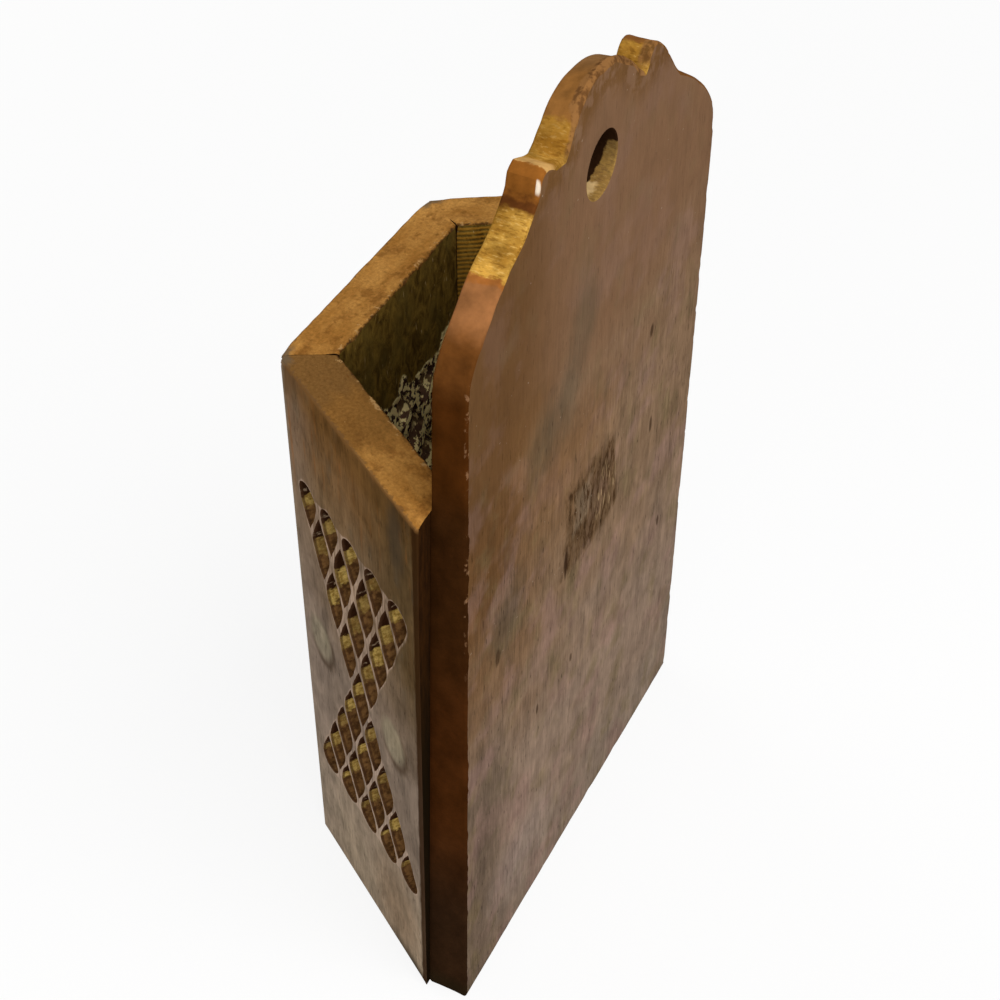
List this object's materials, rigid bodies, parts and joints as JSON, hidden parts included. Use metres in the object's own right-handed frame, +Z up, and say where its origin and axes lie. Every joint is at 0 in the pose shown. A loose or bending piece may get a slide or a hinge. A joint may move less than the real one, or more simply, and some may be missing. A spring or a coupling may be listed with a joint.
{
  "type": "matchbox holder",
  "caption": "Hanging wooden matchbox holder: a tall board with a shaped crest and a hanging hole, and an open-topped box of slanting pierced walls on its front.",
  "frame": {"origin": "middle of the bounding box's bottom face, level with the holder's foot", "axes": "+Z up along the board; +Y out of the board's back, towards the wall that it hangs on; +X along the board's width"},
  "size_m": [0.1128, 0.0512, 0.2007],
  "materials": {
    "back_board": "stained and thinly varnished, worn",
    "front_wall": "stained and thinly varnished, worn",
    "right_wall": "stained and thinly varnished, worn",
    "left_wall": "stained and thinly varnished, worn",
    "bottom_board": "bare sawn wood"
  },
  "bodies": {
    "root": {"back_board": "back_board", "front_wall": "front_wall", "right_wall": "right_wall", "left_wall": "left_wall", "bottom_board": "bottom_board"}
  },
  "joints": []
}
